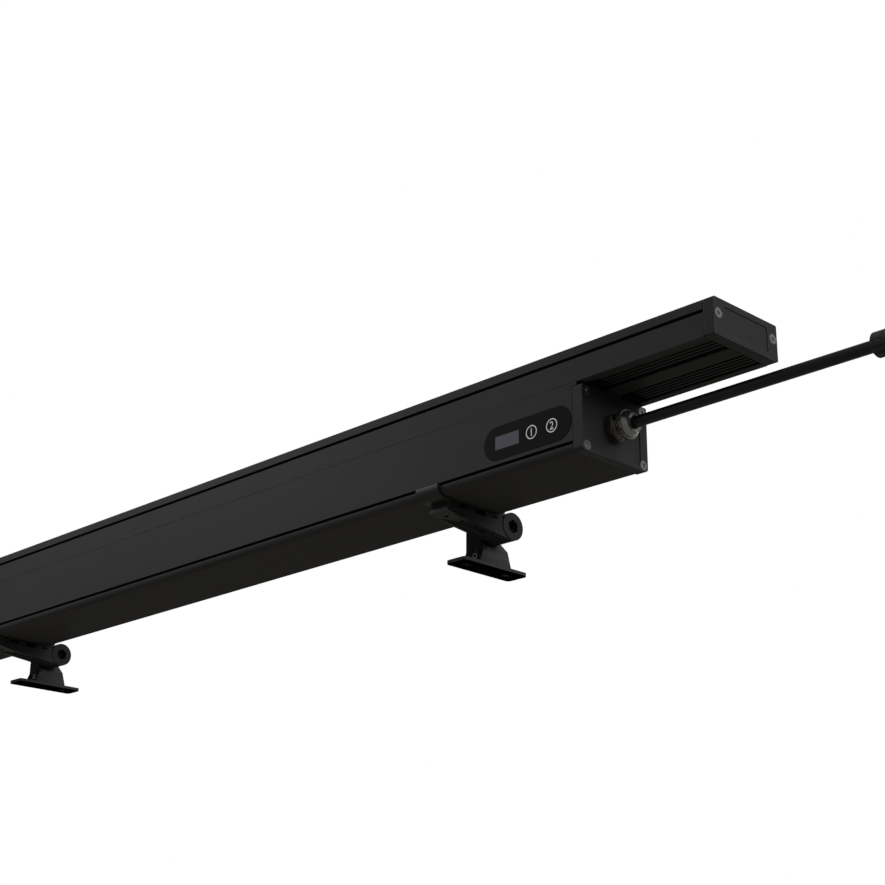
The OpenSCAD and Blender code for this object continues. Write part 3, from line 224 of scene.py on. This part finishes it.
# Rounded edges of the bracket's castings: only a little paler than the sides, a painted highlight
bracketEdgeHighlight = grainedMaterial("paintedBracketEdgeHighlight", {
    "dark": "#232324", "light": "#2f2f31", "grain": (1.2, 1.2, 1.2), "cloud": 10, "fineShare": 0.5,
    "roughness": (0.4, 0.5), "bump": 0.1, "depth": 0.04,
    "specular": 0.0, "coat": 0.2, "coatRoughness": 0.3,
})
# Die cast bracket under the same coat, a little more worn and uneven
castBracket = grainedMaterial("coatedDieCast", {
    "dark": "#1c1c1c", "light": "#282829", "grain": (0.9, 0.9, 0.9), "cloud": 14, "fineShare": 0.6,
    "roughness": (0.5, 0.66), "bump": 0.25, "depth": 0.1,
    "specular": 0.0, "coat": 0.12, "coatRoughness": 0.38,
})
# The foot's casting, painted near black on its flat underside
castFoot = grainedMaterial("dieCastBlackUnderside", {
    "dark": "#252526", "light": "#343436", "grain": (0.9, 0.9, 0.9), "cloud": 14, "fineShare": 0.6,
    "roughness": (0.5, 0.66), "bump": 0.25, "depth": 0.1,
    "specular": 0.0, "coat": 0.09, "coatRoughness": 0.38,
    # The flat underside, near black
    "zones": [((0, 0, 0), (700, 200, 0.3))],
    "zoneColour": "#040404",
})

# Where painted shade darkens the hexagon socket in each pivot bolt's end
boltSocket = {
    "rim": 0.6,  # millimetres below the bolt's end that stay as they are
    "depth": 6.2,
    "reach": 5.9,  # from the bolt's axis
}


def socketZone(node):
    # The middle and half size of the hexagon socket in a bolt's end, where shade is painted
    low, high = [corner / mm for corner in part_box(node)]
    middle = (low + high) / 2
    half = boltSocket["depth"] / 2
    reach = boltSocket["reach"]
    return (high.x - boltSocket["rim"] - half, middle.y, middle.z), (half, reach, reach)


# Blackened steel of the pivot bolts and clamp screws: smoother and greyer than the castings, with turning
# marks, and painted shade in the bolts' sockets
blackenedSteel = grainedMaterial("blackenedSteel", {
    "dark": "#1e1e20", "light": "#28282b", "grain": (30, 0.6, 0.6), "cloud": 8, "fineShare": 0.7,
    "roughness": (0.4, 0.5), "bump": 0.15, "depth": 0.04,
    "specular": 0.0, "coat": 0.08, "coatRoughness": 0.3,
    "zones": [socketZone("pivot_bolt_right"), socketZone("pivot_bolt_left")],
    "zoneColour": "#111112",
})
# Stainless steel screws: satin metal, slightly scratched by the driver
stainlessSteel = grainedMaterial("stainlessSteel", {
    "dark": "#3e3f41", "light": "#565859", "grain": (0.5, 0.5, 0.5), "cloud": 3, "fineShare": 0.5,
    "roughness": (0.3, 0.46), "bump": 0.1, "depth": 0.03, "metallic": 1.0,
})
# Nickel plated brass of the cable glands: warm grey metal, bright only where it faces a lamp
nickelPlate = grainedMaterial("nickelPlatedBrass", {
    "dark": "#403f3d", "light": "#575552", "grain": (2, 9, 9), "cloud": 9, "fineShare": 0.5,
    "roughness": (0.22, 0.3), "bump": 0.03, "depth": 0.01, "metallic": 0.75,
})
# Silicone rubber of the gaskets and seals: matt, dusty black
siliconeRubber = grainedMaterial("siliconeRubber", {
    "dark": "#101010", "light": "#191919", "grain": (0.6, 0.6, 0.6), "cloud": 10, "fineShare": 0.5,
    "roughness": (0.7, 0.85), "bump": 0.2, "depth": 0.05, "specular": 0.05,
})
# Extruded rubber jacket of the cable: faint lines along it
rubberJacket = grainedMaterial("rubberJacket", {
    "dark": "#0f1012", "light": "#151619", "grain": (40, 0.7, 0.7), "cloud": 20, "fineShare": 0.6,
    "roughness": (0.42, 0.56), "bump": 0.15, "depth": 0.04,
    "specular": 0.0, "coat": 0.15, "coatRoughness": 0.28,
})
# Glass filled nylon of the connector: spark eroded mould grain
filledNylon = grainedMaterial("glassFilledNylon", {
    "dark": "#131417", "light": "#1d1e21", "grain": (0.5, 0.5, 0.5), "cloud": 8, "fineShare": 0.7,
    "roughness": (0.5, 0.66), "bump": 0.3, "depth": 0.06,
    "specular": 0.0, "coat": 0.2, "coatRoughness": 0.35,
})
# Polyester film over the controls: smooth, darker than the metal round it
polyesterFilm = grainedMaterial("polyesterFilm", {
    "dark": "#161617", "light": "#1a1a1b", "grain": (0.4, 0.4, 0.4), "cloud": 30, "fineShare": 0.5,
    "roughness": (0.45, 0.55), "bump": 0.08, "depth": 0.02,
    "specular": 0.0, "coat": 0.02, "coatRoughness": 0.3,
})
# Screen printed ink, light grey and flat
printedInk = grainedMaterial("screenPrintedInk", {
    "dark": "#b4b6b8", "light": "#cfd0d1", "grain": (0.3, 0.3, 0.3), "cloud": 4, "fineShare": 0.5,
    "roughness": (0.55, 0.7), "bump": 0.1, "depth": 0.01, "specular": 0.3,
})
# Smoked acrylic window of the display: a very dark blue, grey with the room's reflection
smokedWindow = grainedMaterial("smokedAcrylic", {
    "dark": "#0e1128", "light": "#131730", "grain": (6, 6, 6), "cloud": 14, "fineShare": 0.5,
    "roughness": (0.06, 0.12), "bump": 0.02, "depth": 0.01,
})
# Fired ceramic body of each diode, off white under its yellow dome
firedCeramic = grainedMaterial("firedCeramic", {
    "dark": "#c9c6ba", "light": "#dcd9ce", "grain": (0.5, 0.5, 0.5), "cloud": 3, "fineShare": 0.5,
    "roughness": (0.4, 0.55), "bump": 0.05, "depth": 0.01,
})
# White solder mask of the LED boards: an even, slightly glossy white
whiteSolderMask = grainedMaterial("whiteSolderMask", {
    "dark": "#d6d8d2", "light": "#eceee9", "grain": (1.5, 1.5, 1.5), "cloud": 12, "fineShare": 0.5,
    "roughness": (0.35, 0.5), "bump": 0.06, "depth": 0.02,
})
# Silicone domes over the diodes, filled with phosphor: an even, opaque yellow
phosphor = grainedMaterial("phosphorResin", {
    "dark": "#e3bd3f", "light": "#f5da6b", "grain": (0.3, 0.3, 0.3), "cloud": 2, "fineShare": 0.5,
    "roughness": (0.3, 0.4), "bump": 0.05, "depth": 0.02,
})
# Green solder mask of the control board: glossy, a little blotchy
greenSolderMask = grainedMaterial("greenSolderMask", {
    "dark": "#17492b", "light": "#226a3e", "grain": (1.2, 1.2, 1.2), "cloud": 6, "fineShare": 0.6,
    "roughness": (0.35, 0.5), "bump": 0.1, "depth": 0.03,
})
# Turned brass posts and contacts: bright yellow metal with fine turning marks
turnedBrass = grainedMaterial("turnedBrass", {
    "dark": "#b89045", "light": "#d9b866", "grain": (0.4, 3, 3), "cloud": 4, "fineShare": 0.5,
    "roughness": (0.2, 0.34), "bump": 0.08, "depth": 0.02, "metallic": 1.0,
})
# Mill finish aluminium of the tray and the power supply's case: pale metal with rolling lines along X
millAluminium = grainedMaterial("millFinishAluminium", {
    "dark": "#a3a5a7", "light": "#babcbe", "grain": (40, 0.8, 0.8), "cloud": 30, "fineShare": 0.6,
    "roughness": (0.34, 0.48), "bump": 0.1, "depth": 0.03, "metallic": 1.0,
})
# Display module behind the window: near black glass
displayBlack = grainedMaterial("displayGlassBlack", {
    "dark": "#0d1013", "light": "#14181c", "grain": (5, 5, 5), "cloud": 10, "fineShare": 0.5,
    "roughness": (0.15, 0.25), "bump": 0.02, "depth": 0.01,
})


def clearMaterial(name, look):
    # A clear solid with a faint tint, its polish uneven in waves of some millimetres
    material, tree, shader, place = newMaterial(name)
    waves = addNode(tree, "ShaderNodeTexNoise", Vector=place, Scale=1 / (look["waves"] * mm), Detail=2.0)
    smooth, rough = look["roughness"]
    gloss = addNode(tree, "ShaderNodeMapRange", Value=waves.outputs["Fac"], From_Min=0.3, From_Max=0.7,
                    To_Min=smooth, To_Max=rough)
    tree.links.new(gloss.outputs[0], shader.inputs["Roughness"])
    shader.inputs["Base Color"].default_value = linear(look["tint"])
    shader.inputs["Transmission Weight"].default_value = 1.0
    shader.inputs["IOR"].default_value = look["ior"]
    return material


# Tempered cover glass, faintly green, polished with a slight roller wave
temperedGlass = clearMaterial("temperedGlass", {
    "tint": "#eef5f1", "ior": 1.52, "waves": 60, "roughness": (0.0, 0.03),
})
# Injection moulded acrylic of the lens strips, faintly blue
mouldedAcrylic = clearMaterial("mouldedAcrylic", {
    "tint": "#f4f7f8", "ior": 1.49, "waves": 8, "roughness": (0.03, 0.1),
})
print("materials made:", len(bpy.data.materials))


# Finish of each record slot, the nodes that wear another one, and the painted highlight on rounded edges

finishes = {
    "extrusion_black": anodisedExtrusion,
    "cap_black": powderCoat,
    "bracket_black": castBracket,
    "claw_black": castBracket,
    "bolt_black": blackenedSteel,
    "screw_steel": stainlessSteel,
    "screw_black": blackenedSteel,
    "gasket_rubber": siliconeRubber,
    "cover_glass": temperedGlass,
    "led_board_white": whiteSolderMask,
    "led_phosphor": phosphor,
    "lens_acrylic": mouldedAcrylic,
    "panel_film": polyesterFilm,
    "display_glass": smokedWindow,
    "display_black": displayBlack,
    "button_film": polyesterFilm,
    "circuit_green": greenSolderMask,
    "brass_post": turnedBrass,
    "tray_aluminium": millAluminium,
    "supply_case": millAluminium,
    "gland_nickel": nickelPlate,
    "cable_jacket": rubberJacket,
    "connector_plastic": filledNylon,
    "pin_brass": turnedBrass,
}
nodeFinishes = {"foot_right": castFoot, "foot_left": castFoot, "led_chips": firedCeramic}
edgeHighlights = {"cap_black": capEdgeHighlight, "bracket_black": bracketEdgeHighlight, "claw_black": bracketEdgeHighlight}
slotOf = {part["node"]: part["material_slot"] for part in frame["record"]["subparts"]}
bodyOf = {node: body for body, nodes in frame["record"]["behaviour"]["bodies"].items() for node in nodes}


def finishOf(node):
    return nodeFinishes.get(node, finishes[slotOf[node]])


def finishNodes():
    for name, node in frame["nodes"].items():
        if not node.material_slots:
            node.data.materials.append(None)
        for holder in node.material_slots:
            holder.link = "OBJECT"
            holder.material = finishOf(name)


finishNodes()


def linkPiece(name, mesh, material, body):
    piece = bpy.data.objects.new(name, mesh)
    bpy.context.scene.collection.objects.link(piece)
    piece.data.materials.append(material)
    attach(piece, body)
    return piece


# Pieces whose edges are softened as casting, moulding and deburring leave them: node, piece, edge radius in
# millimetres
softened = [
    ("head_end_cap_right", "castHeadCapRight", 0.4),
    ("head_end_cap_left", "castHeadCapLeft", 0.4),
    ("box_end_cap_right", "castBoxCapRight", 0.4),
    ("box_end_cap_left", "castBoxCapLeft", 0.4),
    ("head_cap_screws", "headCapScrews", 0.15),
    ("box_cap_screws", "boxCapScrews", 0.15),
    ("gland_body_right", "glandBodyRight", 0.3),
    ("gland_nut_right", "glandNutRight", 0.35),
    ("gland_body_left", "glandBodyLeft", 0.3),
    ("gland_nut_left", "glandNutLeft", 0.35),
    ("connector_back_nut", "connectorBackNut", 0.25),
    ("connector_body", "connectorCore", 0.25),
    ("connector_ring", "connectorRing", 0.25),
    ("connector_pins", "connectorPins", 0.3),
]
for side in ("right", "left"):
    title = side.title()
    softened += [
        ("clamp_arm_" + side, "castArm" + title, 0.45),
        ("front_claw_" + side, "castClaw" + title, 0.4),
        ("clamp_screws_" + side, "clampScrews" + title, 0.15),
        ("pivot_bolt_" + side, "pivotBolt" + title, 0.4),
        ("pivot_nut_" + side, "pivotNut" + title, 0.3),
        ("foot_" + side, "castFoot" + title, 0.45),
        ("foot_screw_" + side, "footScrew" + title, 0.2),
    ]

softening = {
    "mergeDistance": 0.002,  # millimetres
    "flatAngle": 0.5,  # degrees, below which an edge only divides a flat face and goes
    "sharpAngle": 28,  # degrees, above which an outward edge is rounded
    "segments": 2,
}

# Turned rings of the gland nuts, about their axis: a collar behind the flats, the rim before them and the
# lip round the cable
glandRings = {
    "middle": (-23, 62.5),  # Y and Z in millimetres
    "rings": [  # start and end in X, inner and outer radius
        (489.85, 491.0, 8.5, 10.9),
        (492.9, 494.0, 8.5, 11.2),
        (496.6, 499.5, 4.7, 7.4),
    ],
    "steps": 72,
}


def addRings(shape, side):
    y, z = glandRings["middle"]
    for start, end, inner, outer in glandRings["rings"]:
        corners = ((start, inner), (end, inner), (end, outer), (start, outer))
        points = [shape.verts.new(Vector((side * x, y + radius, z)) * mm) for x, radius in corners]
        edges = [shape.edges.new((points[i], points[i - 1])) for i in range(len(points))]
        bmesh.ops.spin(shape, geom=points + edges, cent=Vector((0, y, z)) * mm, axis=(1, 0, 0),
                       angle=radians(360), steps=glandRings["steps"], use_merge=True)
    bmesh.ops.recalc_face_normals(shape, faces=shape.faces)


def markEdges(shape):
    # A bevel weight on the sharp outward edges, and smooth faces
    shape.normal_update()
    weight = shape.edges.layers.float.new("bevel_weight_edge")
    sharp = radians(softening["sharpAngle"])
    for edge in shape.edges:
        outward = edge.is_manifold and edge.is_convex and edge.calc_face_angle() > sharp
        edge[weight] = 1.0 if outward else 0.0
    for face in shape.faces:
        face.smooth = True


def roundEdges(piece, radius, slot):
    rounding = piece.modifiers.new("softEdges", "BEVEL")
    rounding.width = radius * mm
    rounding.segments = softening["segments"]
    rounding.limit_method = "WEIGHT"
    rounding.use_clamp_overlap = True
    # The rounded edges get a paler material, a painted highlight, where the slot has one
    if slot in edgeHighlights:
        piece.data.materials.append(edgeHighlights[slot])
        rounding.material = 1  # the one just added
    shading = piece.modifiers.new("flatFaces", "WEIGHTED_NORMAL")
    shading.mode = "FACE_AREA"


def softenedCopy(node, name, radius):
    # A merged copy of the node with its outward edges rounded
    mesh = bpy.data.meshes.new(name)
    shape = bmesh.new()
    shape.from_mesh(frame["nodes"][node].data)
    bmesh.ops.remove_doubles(shape, verts=shape.verts, dist=softening["mergeDistance"] * mm)
    bmesh.ops.dissolve_limit(shape, angle_limit=radians(softening["flatAngle"]), verts=shape.verts,
                             edges=shape.edges)
    if node.startswith("gland_nut"):
        addRings(shape, 1 if node.endswith("right") else -1)
    markEdges(shape)
    shape.to_mesh(mesh)
    shape.free()
    piece = linkPiece(name, mesh, finishOf(node), bodyOf[node])
    roundEdges(piece, radius, slotOf[node])
    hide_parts(node)
    return piece


for node, name, radius in softened:
    softenedCopy(node, name, radius)
print("softened pieces:", len(softened))


# Phosphor domes on the diodes, one row on each board

diodes = {
    "boards": ("led_board_1", "led_board_2", "led_board_3"),
    "perBoard": 16,
    "pitch": 24,  # millimetres
    "domeRadius": 1.35,
    "domeHeight": 0.7,
    "rings": 6,
    "segments": 16,
}


def makeDomes():
    shape = bmesh.new()
    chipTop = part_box("led_chips")[1].z
    flatten = Matrix.Diagonal((1, 1, diodes["domeHeight"] / diodes["domeRadius"], 1))
    for board in diodes["boards"]:
        low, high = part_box(board)
        for i in range(diodes["perBoard"]):
            across = (i - (diodes["perBoard"] - 1) / 2) * diodes["pitch"] * mm
            place = Matrix.Translation(((low.x + high.x) / 2 + across, (low.y + high.y) / 2, chipTop))
            bmesh.ops.create_uvsphere(shape, u_segments=diodes["segments"], v_segments=diodes["rings"],
                                      radius=diodes["domeRadius"] * mm, matrix=place @ flatten)
    for face in shape.faces:
        face.smooth = True
    mesh = bpy.data.meshes.new("phosphorDomes")
    shape.to_mesh(mesh)
    shape.free()
    linkPiece("phosphorDomes", mesh, phosphor, "lamp")


makeDomes()
print("phosphor domes made")


# Supply cable, straight from the gland to its connector

cable = {
    "route": [(499, -23, 62.5), (519, -23, 62.5), (539, -23, 62.5), (559, -23, 62.5), (579, -23, 62.5),
              (599, -23, 62.5), (619, -23, 62.5), (639, -23, 62.5), (659, -23, 62.5), (679, -23, 62.5),
              (699, -23, 62.5)],  # millimetres
    "diameter": 8.6,  # millimetres
    "resolution": 7,  # of the round section
}


def makeCable():
    curve = bpy.data.curves.new("supplyCable", "CURVE")
    curve.dimensions = "3D"
    curve.bevel_depth = cable["diameter"] / 2 * mm
    curve.bevel_resolution = cable["resolution"]
    curve.use_fill_caps = True
    line = curve.splines.new("POLY")
    line.points.add(len(cable["route"]) - 1)
    for point, place in zip(line.points, cable["route"]):
        point.co = (*[mm * x for x in place], 1)
    piece = linkPiece("supplyCable", curve, rubberJacket, "lamp")
    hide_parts("supply_cable")


makeCable()
print("cable made")


# Printed rings and plain numbers on the buttons

marks = {
    "ringRadius": 5.4,  # millimetres, outside
    "ringLine": 0.85,
    "ringSegments": 64,
    "digitHeight": 6.2,
    "capitalShare": 0.7,  # height of a capital or digit as a share of the font size
    "inkHeight": 0.04,
}


def makeRing(number, button, upright):
    shape = bmesh.new()
    bmesh.ops.create_circle(shape, cap_ends=True, segments=marks["ringSegments"],
                            radius=marks["ringRadius"] * mm)
    rim = bmesh.ops.inset_region(shape, faces=shape.faces[:], thickness=marks["ringLine"] * mm,
                                 use_boundary=True, use_even_offset=True)["faces"]
    bmesh.ops.delete(shape, geom=[face for face in shape.faces if face not in rim], context="FACES")
    raised = bmesh.ops.extrude_face_region(shape, geom=shape.faces[:])
    lifted = [item for item in raised["geom"] if isinstance(item, bmesh.types.BMVert)]
    bmesh.ops.translate(shape, verts=lifted, vec=(0, 0, marks["inkHeight"] * mm))
    bmesh.ops.transform(shape, matrix=upright, verts=shape.verts)
    bmesh.ops.recalc_face_normals(shape, faces=shape.faces)
    mesh = bpy.data.meshes.new("buttonRing%d" % number)
    shape.to_mesh(mesh)
    shape.free()
    linkPiece("buttonRing%d" % number, mesh, printedInk, button)


def makeDigit(number, button, upright):
    words = bpy.data.curves.new("digitOutline", "FONT")
    words.body = str(number)
    words.size = marks["digitHeight"] / marks["capitalShare"] * mm
    words.extrude = marks["inkHeight"] / 2 * mm
    words.align_x = "CENTER"
    words.align_y = "CENTER"
    holder = bpy.data.objects.new("digitOutline", words)
    bpy.context.scene.collection.objects.link(holder)
    bpy.context.view_layer.update()
    digit = bpy.data.meshes.new_from_object(holder.evaluated_get(bpy.context.evaluated_depsgraph_get()))
    bpy.data.objects.remove(holder)
    xs = [vertex.co.x for vertex in digit.vertices]
    ys = [vertex.co.y for vertex in digit.vertices]
    middle = Vector(((min(xs) + max(xs)) / 2, (min(ys) + max(ys)) / 2, -marks["inkHeight"] / 2 * mm))
    digit.transform(upright @ Matrix.Translation(-middle))
    digit.materials.clear()
    linkPiece("buttonDigit%d" % number, digit, printedInk, button)


def markButton(number):
    button = "button_%d" % number
    low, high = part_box(button)
    face = Vector(((low.x + high.x) / 2, low.y, (low.z + high.z) / 2))
    upright = Matrix.Translation(face) @ Matrix.Rotation(radians(90), 4, "X")
    makeRing(number, button, upright)
    makeDigit(number, button, upright)


for number in (1, 2):
    markButton(number)
print("button marks made")


# Floor, light and background

studio = {
    "floorDrop": 0.9,  # metres below the feet, under the low camera
    "floorSize": 600.0,  # metres
    "floorColour": "#8c887f",
    "floorGlow": (0.6, 0.93),  # near and far, only for the camera and for reflections
    "glowReach": (0.8, 9.0),  # metres
    "ambient": 0.28,
    "lamps": [
        # name, place, aim, side in metres, watts
        ("frontSoftbox", (-1.7, -1.05, 1.4), (-0.1, 0, 0.06), 1.2, 70),
        ("endSoftbox", (2.6, 0.25, 0.57), (0.6, 0, 0.06), 0.7, 45),
        ("topSoftbox", (0, 0.8, 2.6), (0, 0, 0.1), 2.0, 15),
        ("backSoftbox", (0.4, 2.6, 1.2), (0, 0, 0.06), 1.6, 25),
    ],
}


def floorMaterial():
    # Pale to the camera and in reflections, with the lamp's shadow on it, but dim in what it throws back
    material, tree, shader, place = newMaterial("paleFloor")
    path = addNode(tree, "ShaderNodeLightPath").outputs
    seen = addNode(tree, "ShaderNodeMath", {"operation": "MAXIMUM"}, i0=path["Is Camera Ray"],
                   i1=path["Is Glossy Ray"]).outputs[0]
    distance = addNode(tree, "ShaderNodeVectorMath", {"operation": "LENGTH"}, i0=place).outputs["Value"]
    near, far = studio["glowReach"]
    nearGlow, farGlow = studio["floorGlow"]
    level = addNode(tree, "ShaderNodeMapRange", {"interpolation_type": "SMOOTHSTEP"}, Value=distance,
                    From_Min=near, From_Max=far, To_Min=nearGlow, To_Max=farGlow).outputs[0]
    glow = addNode(tree, "ShaderNodeMath", {"operation": "MULTIPLY"}, i0=seen, i1=level).outputs[0]
    tree.links.new(glow, shader.inputs["Emission Strength"])
    shader.inputs["Emission Color"].default_value = linear("#ffffff")
    shader.inputs["Base Color"].default_value = linear(studio["floorColour"])
    shader.inputs["Specular IOR Level"].default_value = 0.0
    shader.inputs["Roughness"].default_value = 1.0
    return material


def makeFloor():
    shape = bmesh.new()
    bmesh.ops.create_grid(shape, x_segments=1, y_segments=1, size=studio["floorSize"] / 2)
    bmesh.ops.translate(shape, verts=shape.verts, vec=(0, 0, -studio["floorDrop"]))
    mesh = bpy.data.meshes.new("studioFloor")
    shape.to_mesh(mesh)
    shape.free()
    floor = bpy.data.objects.new("studioFloor", mesh)
    bpy.context.scene.collection.objects.link(floor)
    floor.data.materials.append(floorMaterial())


def makeLights():
    for name, place, aim, side, watts in studio["lamps"]:
        lamp = bpy.data.lights.new(name, "AREA")
        lamp.energy = watts
        lamp.size = side
        holder = bpy.data.objects.new(name, lamp)
        bpy.context.scene.collection.objects.link(holder)
        turned = (Vector(aim) - Vector(place)).to_track_quat("-Z", "Y").to_matrix().to_4x4()
        holder.matrix_world = Matrix.Translation(place) @ turned


def makeWorld():
    # White where it is seen, directly, in a reflection or through the glass, and a dim even light otherwise
    world = bpy.data.worlds.new("paleStudio")
    bpy.context.scene.world = world
    world.use_nodes = True
    tree = world.node_tree
    tree.nodes.clear()
    path = addNode(tree, "ShaderNodeLightPath").outputs
    shown = addNode(tree, "ShaderNodeMath", {"operation": "ADD"}, i0=path["Is Camera Ray"],
                    i1=path["Is Glossy Ray"]).outputs[0]
    seen = addNode(tree, "ShaderNodeMath", {"operation": "ADD", "use_clamp": True}, i0=shown,
                   i1=path["Is Transmission Ray"]).outputs[0]
    ambient = addNode(tree, "ShaderNodeBackground", Color="#ffffff", Strength=studio["ambient"]).outputs[0]
    white = addNode(tree, "ShaderNodeBackground", Color="#ffffff", Strength=1.0).outputs[0]
    mix = addNode(tree, "ShaderNodeMixShader", i0=seen, i1=ambient, i2=white).outputs[0]
    addNode(tree, "ShaderNodeOutputWorld", Surface=mix)
    bpy.context.scene.view_settings.view_transform = "Standard"


makeFloor()
makeLights()
makeWorld()
print("studio made")
